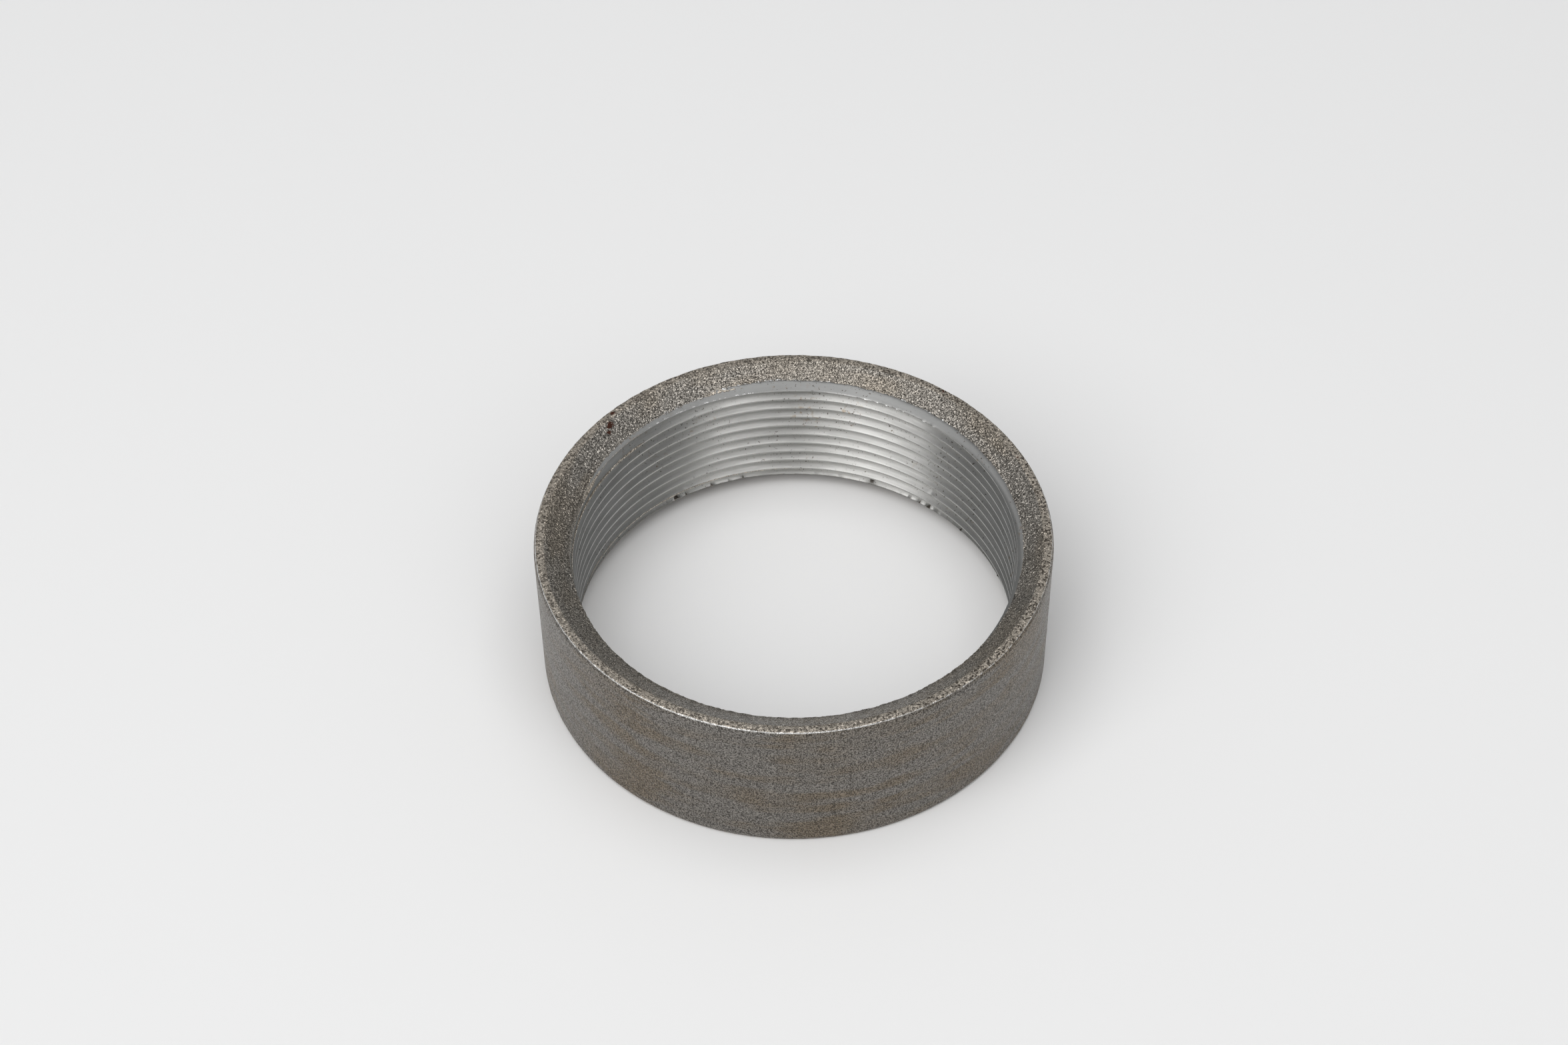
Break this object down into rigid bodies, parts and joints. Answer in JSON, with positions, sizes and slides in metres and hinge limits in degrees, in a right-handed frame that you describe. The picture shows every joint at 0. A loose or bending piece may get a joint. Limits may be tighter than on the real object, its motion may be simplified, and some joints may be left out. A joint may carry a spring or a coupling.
{
  "type": "threaded pipe coupling",
  "caption": "Short steel pipe coupling ring with bevelled mouths and a right-hand internal pipe thread running from end to end.",
  "frame": {"origin": "centre of the outer wall at the bottom end face", "axes": "+Z along the threaded bore, from the bottom end face to the top one"},
  "size_m": [0.127, 0.127, 0.0403],
  "materials": {
    "forged_steel": "shot-blasted forged skin outside and on the bevels, satin machined thread"
  },
  "bodies": {
    "root": {"coupling_body": "forged_steel"}
  },
  "joints": []
}
